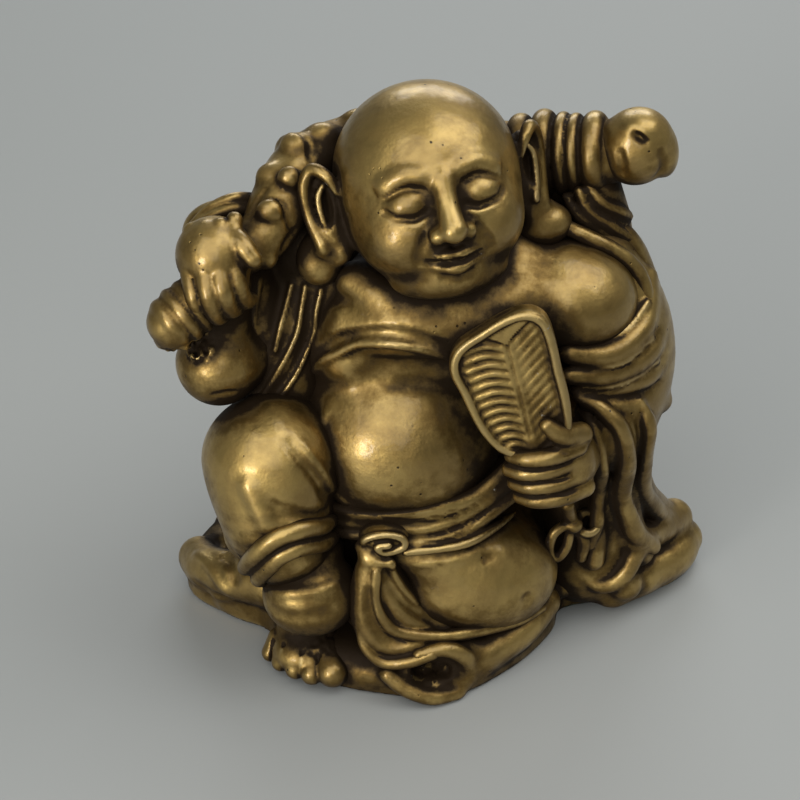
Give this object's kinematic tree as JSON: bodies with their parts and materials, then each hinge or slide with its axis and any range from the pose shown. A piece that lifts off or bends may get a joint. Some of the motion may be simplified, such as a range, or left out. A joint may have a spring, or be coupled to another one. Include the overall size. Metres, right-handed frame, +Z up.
{
  "type": "statuette",
  "caption": "Small seated round-bellied monk figure with a staff over its shoulders, a leaf fan, long earlobes and a robe that spreads on the ground.",
  "frame": {"origin": "on the surface that the statuette stands on, straight below the head", "axes": "+Z up; -Y is where the figure looks; +X is towards the figure's own left hand"},
  "size_m": [0.0774, 0.0495, 0.082],
  "materials": {
    "antique_gold_lacquer": "satin antique-gold lacquer over cast resin, rubbed back to dark brown in the hollows",
    "felt": "dark green adhesive felt"
  },
  "bodies": {
    "root": {"felt_pad": "felt", "staff": "antique_gold_lacquer", "fan": "antique_gold_lacquer", "head": "antique_gold_lacquer", "torso": "antique_gold_lacquer", "foot_right": "antique_gold_lacquer", "hand_left": "antique_gold_lacquer", "arm_right": "antique_gold_lacquer", "trouser_cuff_right": "antique_gold_lacquer", "leg_right": "antique_gold_lacquer", "leg_left": "antique_gold_lacquer", "sash": "antique_gold_lacquer", "sash_knot": "antique_gold_lacquer", "fan_tassel": "antique_gold_lacquer", "staff_binding": "antique_gold_lacquer", "robe_hem": "antique_gold_lacquer", "robe_back": "antique_gold_lacquer", "sleeve_right": "antique_gold_lacquer", "sleeve_left": "antique_gold_lacquer", "sack": "antique_gold_lacquer"}
  },
  "joints": []
}
